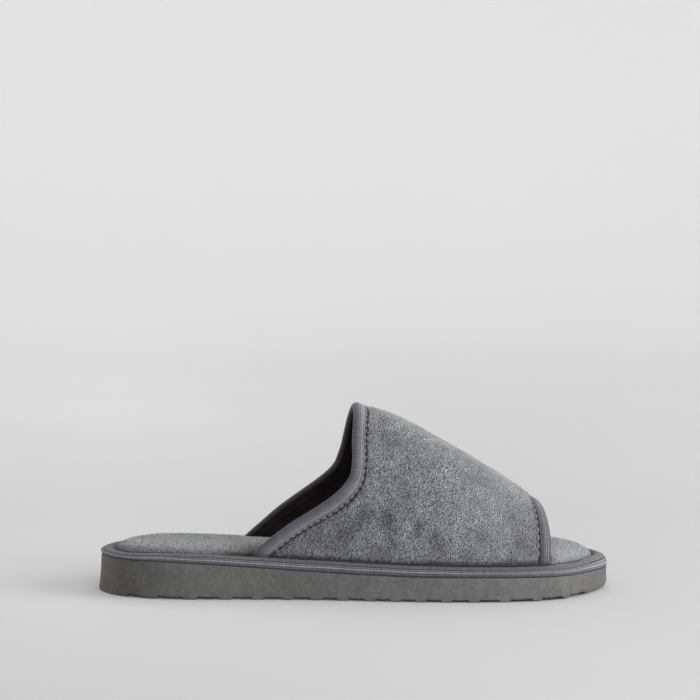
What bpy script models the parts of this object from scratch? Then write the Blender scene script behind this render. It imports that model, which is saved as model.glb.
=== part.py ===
"""A right-foot scuff slipper: a backless, open-toed house shoe of grey towelling.

Six pieces are modelled, as a maker would put them together: a foam outsole with a barred
tread, a padded footbed, a tape binding round the footbed's edge, a hollow upper that stands
in the slot between footbed and binding, and the two bindings of the upper's edges.

Sizes are in millimetres in the shoe's own frame: x runs from the back of the heel to the toe,
y from the outer side (negative, a right foot) to the inner side, z up from the floor. The
finished model is in metres, with its origin under the middle of its box, on the floor.
"""

import math

import bmesh
import bpy
import numpy as np

MM = 0.001

# Driving sizes
LENGTH = 284.0            # outsole at its top edge
HEEL_FLARE = 1.3          # how far the sole's foot stands out at the heel
TOE_FLARE = 0.3           # and at the toe
STATIONS = 88             # points round the sole's outline
GAP = 0.3                 # clearance between neighbouring pieces

RIM_WIDTH = 8.0           # edge binding of the footbed
RIM_OVER_FOOTBED = 0.5    # how far the binding stands above the footbed's edge
FOOTBED_EDGE = 1.2        # how far the footbed's edge turns down
FOOTBED_ROUNDNESS = 3.0   # exponent of its shoulder
HEEL_CENTRE, TOE_CENTRE = 42.0, 240.0   # ends of the footbed's spine
SLOT_SPARE = 3.2          # the upper's slot beside the footbed, past the upper's own ends
SLOT_RAMP = 3.5

WALL = 3.0                # upper: towelling, foam and lining together
WALL_SEWN = 1.0           # the same, pressed flat under a binding
UPPER_FOOT = 0.4          # the wall's foot stands this far above the outsole
TAPE = 0.7                # binding tape
COLLAR_BINDING = 7.8      # width of the binding that shows
TOE_BINDING = 7.4
ARCH_POWER = 2.4          # 2 is an ellipse; more is squarer
RIDGE_SHIFT = 3.0         # the ridge leans towards the inner side
ARCH_SEGMENTS = 40
VAMP_COLUMNS = 12

TREAD_DEPTH = 1.6         # corners of the grooves
TREAD_FIELD = 1.1         # the grooves' raised middle
TREAD_BAR = 5.0           # width of a bar of the tread
TREAD_WAVE = 2.5          # the bars' zigzag across the sole
TREAD_CENTRE = 147.2      # the bars are counted from here, at whole numbers less a quarter
TREAD_PITCH = 13.54       # their spacing there
TREAD_SPREAD = 0.0544     # the spacing grows towards heel and toe
TREAD_FIRST, TREAD_LAST = -7, 7
TREAD_TAPER = 0.8         # slope of a bar's flanks
TREAD_RAMP = 4.0          # ramp before a bar at the heel, gone at FORE_TREAD
FORE_TREAD = 110.0
HEEL_PAD_END = 16.5       # the plain pads at the sole's two ends
TOE_PAD_START = 268.0
TOE_ROUNDING = 2.2        # how far the toe's lower edge is rounded off
TOE_ROUNDING_START = 225.0

# Top outline of the sole, from above: x, the outer side's y and the inner side's y.
OUTLINE = (
    # x      outer    inner
    (0.0,     0.0,     0.0),
    (11.0,  -26.0,    26.5),
    (38.0,  -38.0,    38.5),
    (82.0,  -39.6,    38.0),
    (120.0, -42.0,    38.5),
    (160.0, -47.6,    44.5),
    (203.0, -50.4,    51.5),
    (232.0, -47.9,    50.5),
    (254.0, -39.4,    45.5),
    (272.0, -20.5,    34.0),
    (284.0,   6.0,     6.0),
)

# Height of the outsole's top edge.
SOLE_TOP = (
    # x      z
    (0.0,   21.0),
    (55.0,  19.7),
    (110.0, 16.3),
    (165.0, 14.0),
    (210.0, 13.4),
    (284.0, 13.4),
)

# Toe spring: height of the sole's foot.
SOLE_FOOT = (
    # x      z
    (0.0,    0.0),
    (204.0,  0.0),
    (212.0,  0.0),
    (240.0,  0.3),
    (284.0,  0.8),
)

# Height of the footbed's binding above the outsole: flat at heel and toe, full at the waist.
RIM_HEIGHT = (
    # x      height
    (0.0,    2.2),
    (14.0,   2.8),
    (36.0,   4.4),
    (70.0,   5.3),
    (110.0,  6.0),
    (240.0,  6.0),
    (270.0,  4.8),
    (284.0,  4.8),
)

# The footbed's crown above its own edge, and how far in from the edge it is reached.
CROWN = (
    # x      rise
    (0.0,    5.2),
    (40.0,   4.6),
    (85.0,   4.2),
    (190.0,  6.8),
    (250.0,  8.2),
    (270.0,  9.2),
    (284.0,  9.2),
)
SHOULDER = (
    # x      width
    (0.0,   15.0),
    (85.0,  20.0),
    (284.0, 24.0),
)

# The upper's ridge, seen from the side. Behind the collar it is only a guide for the sides.
RIDGE = (
    # x      z
    (75.0,  97.5),
    (118.0, 104.5),
    (141.0, 103.3),
    (156.0,  99.4),
    (182.0,  86.2),
    (212.0,  69.4),
    (232.0,  56.8),
    (252.0,  43.2),
)

# The collar's edge, seen from the side. It is cut further back on the inner side.
COLLAR_LINE = (
    # z      outer x  inner x
    (12.0,    68.5,    67.0),
    (27.0,    83.4,    82.4),
    (34.0,    92.0,    90.4),
    (42.0,   102.8,    99.8),
    (49.0,   113.8,   109.4),
    (56.0,   124.4,   119.2),
    (61.0,   130.0,   125.3),
    (66.0,   133.8,   130.0),
    (74.0,   136.3,   133.2),
    (86.0,   136.8,   135.2),
    (96.0,   137.2,   136.8),
    (104.0,  138.8,   138.8),
)

# The toe opening's edge, seen from the side.
TOE_LINE = (
    # z      outer x  inner x
    (12.0,   247.3,   247.3),
    (40.0,   247.2,   247.2),
    (51.0,   245.6,   245.6),
)

# Colour (linear), roughness
COLOURS = {
    "outsole": ((0.155, 0.155, 0.145), 0.75),
    "footbed": ((0.36, 0.37, 0.375), 0.95),
    "footbed_binding": ((0.165, 0.16, 0.185), 0.7),
    "upper": ((0.22, 0.23, 0.24), 0.95),
    "collar_binding": ((0.14, 0.137, 0.16), 0.7),
    "toe_binding": ((0.14, 0.137, 0.16), 0.7),
}


def smooth_table(table, x, column=1):
    """Value of a table's column at x, on a smooth curve through its rows."""
    xs = np.array([row[0] for row in table])
    ys = np.array([row[column] for row in table])
    slopes = np.gradient(ys, xs)
    x = np.clip(np.asarray(x, float), xs[0], xs[-1])
    i = np.clip(np.searchsorted(xs, x) - 1, 0, len(xs) - 2)
    span = xs[i + 1] - xs[i]
    t = (x - xs[i]) / span
    return (
        ys[i] * (1 + 2 * t) * (1 - t) ** 2
        + ys[i + 1] * t * t * (3 - 2 * t)
        + span * t * (1 - t) * (slopes[i] * (1 - t) - slopes[i + 1] * t)
    )


def periodic_spline(knots, values, period, at):
    """Cubic spline through the knots, closed after one period."""
    n = len(knots)
    step = np.diff(np.append(knots, knots[0] + period))
    system = np.zeros((n, n))
    rhs = np.zeros(n)
    for i in range(n):
        before, after = step[i - 1], step[i]
        system[i, i - 1] += before
        system[i, i] += 2 * (before + after)
        system[i, (i + 1) % n] += after
        rise_after = (values[(i + 1) % n] - values[i]) / after
        rise_before = (values[i] - values[i - 1]) / before
        rhs[i] = 6 * (rise_after - rise_before)
    bend = np.linalg.solve(system, rhs)
    at = np.mod(at - knots[0], period) + knots[0]
    i = np.clip(np.searchsorted(knots, at, side="right") - 1, 0, n - 1)
    j = (i + 1) % n
    h = step[i]
    right = at - knots[i]
    left = h - right
    return (
        (bend[i] * left**3 + bend[j] * right**3) / (6 * h)
        + (values[i] / h - bend[i] * h / 6) * left
        + (values[j] / h - bend[j] * h / 6) * right
    )


def outline(count, inset=0.0):
    """Points round the sole, counter-clockwise from the heel's back, moved in by inset."""
    along = [math.acos(1 - 2 * row[0] / LENGTH) / math.pi for row in OUTLINE]
    knots = np.array(along + [2 - t for t in along[-2:0:-1]])
    values = np.array([row[1] for row in OUTLINE] + [row[2] for row in OUTLINE[-2:0:-1]])

    def place(t):
        x = LENGTH / 2 * (1 - np.cos(math.pi * t))
        return np.stack([x, periodic_spline(knots, values, 2.0, t)], -1)

    t = np.arange(count) * 2 / count
    small = 1e-3
    tangent = place(t + small) - place(t - small)
    tangent /= np.linalg.norm(tangent, axis=1)[:, None]
    inward = np.stack([-tangent[:, 1], tangent[:, 0]], -1)
    return place(t) + inward * np.asarray(inset).reshape(-1, 1)


FINE = 720
FINE_OUTLINES = {}        # fine outlines already worked out, by their inset


def side_y(x, inset, outer):
    """The outline's y at x on one side, moved in by inset."""
    if inset not in FINE_OUTLINES:
        FINE_OUTLINES[inset] = outline(FINE, inset)
    points = FINE_OUTLINES[inset]
    half = points[: FINE // 2 + 1] if outer else np.vstack([points[FINE // 2 :], points[:1]])[::-1]
    return np.interp(x, half[:, 0], half[:, 1])


def with_height(points, z):
    return np.column_stack([points, np.broadcast_to(z, len(points))])


def add_rings(bm, rings, close_sections=False):
    """Quads between successive rings of points; returns the rings' vertices."""
    verts = [[bm.verts.new(p * MM) for p in ring] for ring in rings]
    count = len(verts[0])
    pairs = list(zip(verts, verts[1:]))
    if close_sections:
        pairs.append((verts[-1], verts[0]))
    for low, high in pairs:
        for i in range(count):
            j = (i + 1) % count
            bm.faces.new((low[i], low[j], high[j], high[i]))
    return verts


def ladder(bm, ring):
    """Fills a ring whose two halves lie opposite each other with rungs across."""
    n = len(ring)
    half = n // 2
    bm.faces.new((ring[0], ring[1], ring[n - 1]))
    for i in range(1, half - 1):
        bm.faces.new((ring[i], ring[i + 1], ring[n - i - 1], ring[n - i]))
    bm.faces.new((ring[half - 1], ring[half], ring[half + 1]))


def finish_mesh(name, bm, sharp_degrees=40.0):
    bmesh.ops.recalc_face_normals(bm, faces=bm.faces)
    mesh = bpy.data.meshes.new(name)
    bm.to_mesh(mesh)
    bm.free()
    obj = bpy.data.objects.new(name, mesh)
    bpy.context.scene.collection.objects.link(obj)
    mesh.shade_smooth()
    mesh.set_sharp_from_angle(angle=math.radians(sharp_degrees))
    if name in COLOURS:
        colour, roughness = COLOURS[name]
        material = bpy.data.materials.new(name)
        material.use_nodes = True
        shader = material.node_tree.nodes["Principled BSDF"]
        shader.inputs["Base Color"].default_value = (*colour, 1.0)
        shader.inputs["Roughness"].default_value = roughness
        shader.inputs["Metallic"].default_value = 0.0
        mesh.materials.append(material)
    return obj


# Outsole

def flare(x):
    return HEEL_FLARE + (TOE_FLARE - HEEL_FLARE) * np.clip(x / LENGTH, 0, 1) ** 0.5


def tread_bar_x(number):
    j = number - 0.25
    return TREAD_CENTRE + TREAD_PITCH * j + TREAD_SPREAD * j**3


def tread_grooves():
    """The x of both ends of each groove."""
    bars = [tread_bar_x(n) for n in range(TREAD_FIRST, TREAD_LAST + 1)]
    starts = [HEEL_PAD_END] + [x + TREAD_BAR / 2 for x in bars]
    stops = [x - TREAD_BAR / 2 for x in bars] + [TOE_PAD_START]
    return list(zip(starts, stops))


def groove_profile(left, right):
    """A groove from the side: steep behind each bar, ramped before it towards the heel."""
    below = -2.0
    middle = (left + right) / 2
    floor = float(smooth_table(SOLE_FOOT, middle))
    fore = min(left / FORE_TREAD, 1.0)
    ramp = TREAD_RAMP + (TREAD_TAPER - TREAD_RAMP) * fore
    return (
        (left - TREAD_TAPER, below),
        (left + TREAD_TAPER, floor + TREAD_DEPTH),
        (middle, floor + TREAD_FIELD),
        (right - ramp, floor + TREAD_FIELD + (TREAD_DEPTH - TREAD_FIELD) * fore),
        (right + TREAD_TAPER, below),
    )


def tread_cutter():
    """The grooves between the bars, as one mesh of separate zigzag prisms."""
    bm = bmesh.new()
    reach = 64.0
    steps = np.linspace(-reach, reach, 9)
    zigzag = TREAD_WAVE * np.where(np.arange(len(steps)) % 2 == 0, -1.0, 1.0)
    for left, right in tread_grooves():
        profile = groove_profile(left, right)
        rings = [
            np.array([(x + dx, y, z) for x, z in profile]) for y, dx in zip(steps, zigzag)
        ]
        verts = add_rings(bm, rings)
        bm.faces.new(verts[0])
        bm.faces.new(verts[-1])
    cutter = finish_mesh("tread_cutter", bm)
    cutter.hide_render = True
    cutter.display_type = "WIRE"
    return cutter


def outsole():
    base = outline(STATIONS)
    x = base[:, 0]
    foot = smooth_table(SOLE_FOOT, x)
    top = smooth_table(SOLE_TOP, x)
    out = flare(x)
    toe = np.clip((x - TOE_ROUNDING_START) / (LENGTH - TOE_ROUNDING_START), 0, 1) ** 2
    rings = []
    # share of the height, of the flare, of the toe's rounding
    for share, spread, rounded in (
        (0.0, 1.0, 1.0),
        (0.08, 0.9, 0.36),
        (0.25, 0.6, 0.0),
        (0.6, 0.15, 0.0),
        (0.96, 0.0, 0.0),
        (1.0, -0.4, 0.0),
    ):
        inset = TOE_ROUNDING * rounded * toe - out * spread
        rings.append(with_height(outline(STATIONS, inset), foot + (top - foot) * share))
    bm = bmesh.new()
    verts = add_rings(bm, rings)
    ladder(bm, verts[0])
    ladder(bm, verts[-1])
    obj = finish_mesh("outsole", bm, 35.0)
    cut = obj.modifiers.new("tread", "BOOLEAN")
    cut.operation = "DIFFERENCE"
    cut.solver = "EXACT"
    cut.object = tread_cutter()
    return obj


# Footbed and the binding of its edge

def footbed_binding():
    """A padded tape ring on the outsole's edge, flat inside, round outside."""
    sections = (
        # inset  share of the binding's height
        (0.5, 0.0),
        (-0.1, 0.16),
        (-0.2, 0.37),
        (0.3, 0.58),
        (1.6, 0.78),
        (3.8, 0.93),
        (RIM_WIDTH - 1.2, 1.0),
        (RIM_WIDTH, 0.92),
        (RIM_WIDTH, 0.0),
    )
    x = outline(STATIONS)[:, 0]
    low = smooth_table(SOLE_TOP, x) + GAP
    height = smooth_table(RIM_HEIGHT, x) - GAP
    bm = bmesh.new()
    rings = [with_height(outline(STATIONS, inset), low + height * share) for inset, share in sections]
    add_rings(bm, rings, close_sections=True)
    return finish_mesh("footbed_binding", bm, 60.0)


def slot_share(x, z):
    """1 where the upper's wall stands beside the footbed at height z, 0 past its ends."""
    back = smooth_table(COLLAR_LINE, z) - SLOT_SPARE
    front = smooth_table(TOE_LINE, z) + SLOT_SPARE
    rise = np.clip((x - back) / SLOT_RAMP + 1, 0, 1)
    fall = np.clip((front - x) / SLOT_RAMP + 1, 0, 1)
    return np.minimum(rise, fall)


def footbed():
    """A crowned pad inside the binding, drawn in where the upper's wall stands."""
    clear = RIM_WIDTH + GAP
    base_x = outline(STATIONS, clear)[:, 0]
    rim_top = smooth_table(SOLE_TOP, base_x) + smooth_table(RIM_HEIGHT, base_x)

    def ring(share, level):
        """A ring that share of the way in from the edge, whose edge stands at a level."""
        slot = (WALL + GAP) * slot_share(base_x, level)
        edge = outline(STATIONS, clear + slot)
        spine_x = np.clip(edge[:, 0], HEEL_CENTRE, TOE_CENTRE)
        middle = (side_y(spine_x, 0.0, True) + side_y(spine_x, 0.0, False)) / 2
        p = edge + (np.column_stack([spine_x, middle]) - edge) * share
        into = np.linalg.norm(p - edge, axis=1) / smooth_table(SHOULDER, p[:, 0])
        rise = 1 - (1 - np.clip(into, 0, 1)) ** FOOTBED_ROUNDNESS
        slope = smooth_table(SOLE_TOP, p[:, 0]) + smooth_table(RIM_HEIGHT, p[:, 0]) - rim_top
        return with_height(p, level + slope + smooth_table(CROWN, p[:, 0]) * rise)

    edge_top = rim_top - RIM_OVER_FOOTBED
    rings = [ring(0.0, smooth_table(SOLE_TOP, base_x) + GAP), ring(0.0, edge_top - FOOTBED_EDGE)]
    rings += [ring(share, edge_top) for share in (0.05, 0.13, 0.25, 0.42, 0.62, 0.82)]
    bm = bmesh.new()
    verts = add_rings(bm, rings)
    ladder(bm, verts[0])
    ladder(bm, verts[-1])
    return finish_mesh("footbed", bm, 50.0)


# Upper

def arch(x, angle):
    """A point of the upper's outer face: angle 0 is the outer side's foot, pi the inner side's."""
    inset = RIM_WIDTH + GAP
    outer, inner = side_y(x, inset, True), side_y(x, inset, False)
    spring = smooth_table(SOLE_TOP, x) + smooth_table(RIM_HEIGHT, x)
    up = np.sin(np.clip(angle, 0, math.pi)) ** (2 / ARCH_POWER)
    c = np.cos(np.clip(angle, 0, math.pi))
    across = np.sign(c) * np.abs(c) ** (2 / ARCH_POWER)
    y = (outer + inner) / 2 - (inner - outer) / 2 * across + RIDGE_SHIFT * up
    return np.stack([x, y, spring + (smooth_table(RIDGE, x) - spring) * up], -1)


def arch_normal(x, angle):
    """The outward normal there."""
    dx, da = 0.5, 0.01
    low, high = np.clip(angle - da, 0, math.pi), np.clip(angle + da, 0, math.pi)
    along = arch(x + dx, angle) - arch(x - dx, angle)
    round_it = arch(x, high) - arch(x, low)
    n = np.cross(along, round_it)
    return n / np.linalg.norm(n, axis=-1, keepdims=True)


def line_x(line, z, angle):
    """An edge line's x at a height, passing over the ridge from the outer to the inner column."""
    outer, inner = smooth_table(line, z, 1), smooth_table(line, z, 2)
    over = (1 - np.cos(np.clip(angle, 0, math.pi))) / 2
    return outer + (inner - outer) * over


def edge_x(angle, line):
    """Where the upper's face meets an edge line that is given from the side."""
    x = line_x(line, 60.0, angle)
    for _ in range(60):
        x = x + 0.5 * (line_x(line, arch(x, angle)[:, 2], angle) - x)
    return x


def edge_step(angle, line):
    """How far along x one millimetre square to the edge is."""
    da = 0.01
    low, high = np.clip(angle - da, 0, math.pi), np.clip(angle + da, 0, math.pi)
    run = arch(edge_x(high, line), high) - arch(edge_x(low, line), low)
    run /= np.linalg.norm(run, axis=1)[:, None]
    x = edge_x(angle, line)
    along = arch(x + 0.5, angle) - arch(x - 0.5, angle)
    stretch = np.linalg.norm(along, axis=1)
    along /= stretch[:, None]
    square = np.linalg.norm(np.cross(run, along), axis=1)
    step = 1 / (np.maximum(square, 0.5) * stretch)
    for _ in range(2):
        step[1:-1] = (step[:-2] + 2 * step[1:-1] + step[2:]) / 4
    return step


def face_points(x, angle, depth):
    """A strip across the shoe, from one foot of the wall over the ridge to the other.

    depth is how far it lies inside the upper's outer face.
    """
    p = arch(x, angle) - arch_normal(x, angle) * depth
    floor = smooth_table(SOLE_TOP, p[:, 0]) + UPPER_FOOT
    first, last = p[0].copy(), p[-1].copy()
    first[2], last[2] = floor[0], floor[-1]
    return np.vstack([first, p, last])


def add_shell(bm, strips):
    """Closes a ring of strips, each a run of points from foot to foot, into one solid."""
    verts = [[bm.verts.new(p * MM) for p in strip] for strip in strips]
    n = len(verts)
    for k in range(n):
        a, b = verts[k], verts[(k + 1) % n]
        for i in range(len(a) - 1):
            bm.faces.new((a[i], a[i + 1], b[i + 1], b[i]))
    bm.faces.new([v[0] for v in verts])
    bm.faces.new([v[-1] for v in verts])


ANGLES = np.linspace(0, math.pi, ARCH_SEGMENTS + 1)
COVER = TAPE + GAP        # from a binding's face to the wall inside it


def upper():
    """The hollow vamp: one wall, pressed thinner where the bindings grip its two edges."""
    collar, toe = edge_x(ANGLES, COLLAR_LINE), edge_x(ANGLES, TOE_LINE)
    collar_step, toe_step = edge_step(ANGLES, COLLAR_LINE), edge_step(ANGLES, TOE_LINE)
    seam = COLLAR_BINDING + GAP
    places = [
        (collar + collar_step * (COVER + GAP), True),
        (collar + collar_step * seam, True),
        (collar + collar_step * (seam + GAP), False),
    ]
    seam = TOE_BINDING + GAP
    ends = [
        (toe - toe_step * (seam + GAP), False),
        (toe - toe_step * seam, True),
        (toe - toe_step * (COVER + GAP), True),
    ]
    start, stop = places[-1][0], ends[0][0]
    for k in range(1, VAMP_COLUMNS):
        places.append((start + (stop - start) * k / VAMP_COLUMNS, False))
    places += ends
    bm = bmesh.new()
    outer, inner = [], []
    for x, thin in places:
        for side, depth in ((outer, COVER if thin else 0), (inner, COVER + WALL_SEWN if thin else WALL)):
            side.append([bm.verts.new(p * MM) for p in face_points(x, ANGLES, depth)])
    rows = len(outer[0])
    for c in range(len(places) - 1):
        for side in (outer, inner):
            a, b = side[c], side[c + 1]
            for r in range(rows - 1):
                bm.faces.new((a[r], a[r + 1], b[r + 1], b[r]))
        for r in (0, -1):
            bm.faces.new((outer[c][r], outer[c + 1][r], inner[c + 1][r], inner[c][r]))
    for c in (0, -1):
        for r in range(rows - 1):
            bm.faces.new((outer[c][r], outer[c][r + 1], inner[c][r + 1], inner[c][r]))
    return finish_mesh("upper", bm, 40.0)


def edge_binding(name, line, width, towards_toe):
    """A folded tape that grips one edge of the upper from both sides."""
    outer_face, inner_face = 0.0, 2 * COVER + WALL_SEWN
    middle = (outer_face + inner_face) / 2
    section = (
        # in from the edge, in from the outer face
        (width, outer_face),
        (1.6, outer_face),
        (0.5, outer_face + 0.6),
        (0.0, middle),
        (0.5, inner_face - 0.6),
        (1.6, inner_face),
        (width, inner_face),
        (width, inner_face - TAPE),
        (COVER, inner_face - TAPE),
        (COVER, outer_face + TAPE),
        (width, outer_face + TAPE),
    )
    edge, step = edge_x(ANGLES, line), edge_step(ANGLES, line)
    direction = 1 if towards_toe else -1
    strips = [
        face_points(edge + direction * step * along, ANGLES, depth)
        for along, depth in section
    ]
    bm = bmesh.new()
    add_shell(bm, strips)
    return finish_mesh(name, bm, 50.0)


def centre_on_floor(objects):
    """Moves every piece so that the whole stands on the floor, centred on the origin."""
    corners = np.array([v.co[:] for o in objects for v in o.data.vertices])
    low, high = corners.min(axis=0), corners.max(axis=0)
    shift = -np.array([(low[0] + high[0]) / 2, (low[1] + high[1]) / 2, low[2]])
    for o in bpy.data.objects:
        o.location = shift


def main():
    for obj in list(bpy.data.objects):
        bpy.data.objects.remove(obj, do_unlink=True)
    pieces = [
        outsole(),
        footbed_binding(),
        footbed(),
        upper(),
        edge_binding("collar_binding", COLLAR_LINE, COLLAR_BINDING, towards_toe=True),
        edge_binding("toe_binding", TOE_LINE, TOE_BINDING, towards_toe=False),
    ]
    centre_on_floor(pieces)


main()
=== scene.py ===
"""The looks of a right-foot scuff slipper in grey towelling.

Sizes are in millimetres in the shoe's own frame, as in the part's source: x runs from the back
of the heel to the toe, y from the outer side (negative) to the inner side, z up from the floor.
place() moves them into the frame's metres.
"""

import math

import bpy
import numpy as np
from mathutils import Matrix, Vector


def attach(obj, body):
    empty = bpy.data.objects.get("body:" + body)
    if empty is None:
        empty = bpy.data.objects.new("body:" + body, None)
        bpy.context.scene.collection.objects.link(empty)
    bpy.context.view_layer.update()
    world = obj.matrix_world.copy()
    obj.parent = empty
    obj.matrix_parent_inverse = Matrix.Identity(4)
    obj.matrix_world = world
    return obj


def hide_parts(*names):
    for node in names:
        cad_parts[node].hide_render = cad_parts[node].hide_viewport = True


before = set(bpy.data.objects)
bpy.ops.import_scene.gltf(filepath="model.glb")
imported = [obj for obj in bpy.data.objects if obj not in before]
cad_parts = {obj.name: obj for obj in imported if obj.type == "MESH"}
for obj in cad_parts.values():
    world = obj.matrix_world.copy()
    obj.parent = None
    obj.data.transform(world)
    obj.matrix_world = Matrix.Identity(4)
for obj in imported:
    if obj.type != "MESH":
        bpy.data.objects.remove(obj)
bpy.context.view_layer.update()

MM = 0.001

# Driving sizes, as in the part's source
LENGTH = 284.0
HEEL_FLARE, TOE_FLARE = 1.3, 0.3
GAP = 0.3
RIM_WIDTH = 8.0
RIM_OVER_FOOTBED = 0.5
FOOTBED_EDGE = 1.2
FOOTBED_ROUNDNESS = 3.0
HEEL_CENTRE, TOE_CENTRE = 42.0, 240.0
WALL, WALL_SEWN, TAPE = 3.0, 1.0, 0.7
COVER = TAPE + GAP
UPPER_FOOT = 0.4
COLLAR_BINDING, TOE_BINDING = 7.8, 8.4
ARCH_POWER = 2.4
RIDGE_SHIFT = 3.0
TREAD_BAR = 5.0
TREAD_WAVE = 2.5
TREAD_CENTRE, TREAD_PITCH, TREAD_SPREAD = 147.2, 13.54, 0.0544
TREAD_FIRST, TREAD_LAST = -7, 7
TREAD_TAPER, TREAD_RAMP, FORE_TREAD = 0.8, 4.0, 110.0
HEEL_PAD_END, TOE_PAD_START = 16.5, 268.0
TOE_ROUNDING, TOE_ROUNDING_START = 2.2, 225.0

# The scene's own: a shallower tread, and a slot that closes up at the upper's ends
TREAD_DEPTH, TREAD_FIELD = 1.05, 0.75
SLOT_SPARE, SLOT_RAMP = 0.8, 1.6

# Top outline of the sole, from above
OUTLINE = (
    # x, outer, inner
    (0, 0, 0), (11, -26, 26.5), (38, -38, 38.5), (82, -39.6, 38), (120, -42, 38.5),
    (160, -47.6, 44.5), (203, -50.4, 51.5), (232, -47.9, 50.5), (254, -39.4, 45.5), (272, -20.5, 34),
    (284, 6, 6),
)

# Height of the sole's top edge
SOLE_TOP = (
    # x, z
    (0, 20.2), (12, 20.2), (28, 20.3), (55, 19.2), (110, 15.7), (165, 13.6), (210, 13.3),
    (240, 12.9), (262, 12.6), (284, 12),
)

# Toe spring: height of the sole's foot
SOLE_FOOT = (
    # x, z
    (0, 0), (204, 0), (212, 0), (240, 0.3), (284, 0.8),
)

# Height of the footbed's binding above the sole
RIM_HEIGHT = (
    # x, height
    (0, 3), (14, 3.4), (36, 4.8), (70, 5.9), (110, 6.6), (165, 6.4), (210, 6.1), (240, 6.5),
    (270, 5.9), (284, 6.2),
)

# The footbed's crown above its own edge, and how far in from the edge it is reached
CROWN = (
    # x, rise
    (0, 4.6), (40, 3.4), (85, 3.6), (190, 6.8), (250, 8), (270, 8), (284, 8.6),
)
SHOULDER = (
    # x, width
    (0, 12.5), (85, 20), (245, 22), (284, 15),
)

# The upper's ridge, seen from the side
RIDGE = (
    # x, z
    (75, 97.5), (118, 104.5), (141, 102.9), (155, 99.4), (169, 93.8), (184, 85.7), (212, 69.6),
    (232, 57.1), (252, 43.2),
)

# The edges of the upper, seen from the side
COLLAR_LINE = (
    # z, outer x, inner x
    (12, 71.5, 67), (27, 85.3, 82), (34, 93.3, 89.8), (42, 104.2, 98.8), (49, 115.4, 108),
    (56, 125.5, 117.7), (61, 131, 124.1), (66, 134.8, 129.1), (74, 136.7, 132.5), (86, 136.9, 135.2),
    (96, 138, 136.9), (104, 139, 138.9),
)
TOE_LINE = (
    # z, outer x, inner x
    (12, 247.3, 247.3), (40, 247.2, 247.2), (51, 245.6, 245.6),
)

# Soft troughs (negative) and ridges of the vamp. side: -1 outer, 1 inner
FOLDS = (
    # side, x, z, length, width, lean, rise
    (-1, 163, 82, 16, 7, 20, -0.5), (-1, 208, 62, 14, 6, 35, -0.4), (-1, 159, 43, 15, 8, 60, -0.5),
    (-1, 184, 34, 13, 4, 62, -0.6), (-1, 190, 35, 14, 4, 64, 0.5), (-1, 195, 27, 9, 4.5, 70, -0.5),
    (-1, 140, 31, 12, 6, 40, -0.5), (-1, 206, 38, 14, 9, 80, 0.5), (-1, 228, 30, 12, 5, 85, -0.4),
    (-1, 176, 60, 18, 9, 45, 0.4), (1, 170, 70, 18, 8, 30, -0.5), (1, 190, 40, 16, 6, 65, -0.5),
    (1, 150, 38, 14, 7, 45, 0.5), (1, 220, 34, 13, 6, 80, -0.5),
)

# Darker and lighter places of the pile, partly its mottling and partly painted light and shade, side and
# directions as for the folds
SHADES = (
    # side, x, z, length, width, lean, change
    (-1, 133, 36, 6, 4, 60, -0.36), (-1, 141, 43.5, 6, 3, 40, -0.26), (-1, 130, 30, 6, 4, 0, -0.1),
    (-1, 114, 37, 14, 7, 38, -0.22), (-1, 108.5, 38.3, 6, 3.5, 40, -0.3),
    (-1, 156, 45, 6, 3, 80, -0.34), (-1, 158, 34, 7, 5, 80, -0.14),
    (-1, 173, 40.5, 4, 2.8, 60, -0.36), (-1, 182, 35.5, 4, 2.8, 50, -0.42),
    (-1, 184, 28, 6, 5.5, 85, -0.3), (-1, 154, 91, 5, 4, 60, -0.12), (-1, 173, 86, 4, 3, 60, -0.08),
    (-1, 207, 68.5, 8, 6, -30, -0.28), (-1, 166.5, 75, 4.5, 5, 60, -0.22),
    (-1, 231, 43, 16, 13, 90, -0.1), (-1, 228, 32.5, 5, 4, 90, -0.32),
    (-1, 222.5, 24, 4, 3.5, 90, -0.22), (-1, 197.5, 23, 5, 3, 90, -0.18),
    (-1, 183, 46, 4, 3.5, 60, -0.18), (-1, 193, 38, 7, 4, 75, 0.2), (-1, 163, 93, 6, 3.5, 0, 0.12),
    (-1, 154, 76.5, 5, 7, 0, 0.15), (-1, 197, 57, 6, 5, 0, 0.13), (-1, 187, 72, 8, 6, -30, 0.22),
    (-1, 149.5, 57, 9, 7, 90, 0.21), (-1, 164, 33, 8, 4.5, 90, 0.18), (-1, 203, 47, 10, 6, 40, 0.14),
    (1, 150, 40, 8, 5, 60, -0.25), (1, 178, 52, 7, 4, 45, -0.2), (1, 206, 36, 9, 5, 80, -0.22),
    (1, 188, 74, 8, 5, 30, 0.12),
)
PILE_TONE = 1.06
LOW_BACK_SHADE = 0.20  # painted shade: how much darker the pile is low down behind
RIDGE_SHADE = 0.27  # and painted shade along the ridge


# Curves of the shoe

def smooth_table(table, x, column=1):
    """Value of a table's column at x, on a smooth curve through its rows."""
    xs = np.array([row[0] for row in table])
    ys = np.array([row[column] for row in table])
    slopes = np.gradient(ys, xs)
    x = np.clip(np.asarray(x, float), xs[0], xs[-1])
    i = np.clip(np.searchsorted(xs, x) - 1, 0, len(xs) - 2)
    span = xs[i + 1] - xs[i]
    t = (x - xs[i]) / span
    return (
        ys[i] * (1 + 2 * t) * (1 - t) ** 2
        + ys[i + 1] * t * t * (3 - 2 * t)
        + span * t * (1 - t) * (slopes[i] * (1 - t) - slopes[i + 1] * t)
    )


def smooth_step(x):
    x = np.clip(x, 0, 1)
    return x * x * (3 - 2 * x)


def ease(x, start, stop):
    """0 at start and 1 at stop, whichever is greater, with a soft run between."""
    return smooth_step((x - start) / (stop - start))


def size(v):
    return np.linalg.norm(v, axis=-1)


def unit(v):
    return v / size(v)[..., None]


def distance_along(points):
    """Each point's distance from the first, along the line through them."""
    return np.concatenate([[0], np.cumsum(size(np.diff(points, axis=0)))])


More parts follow.
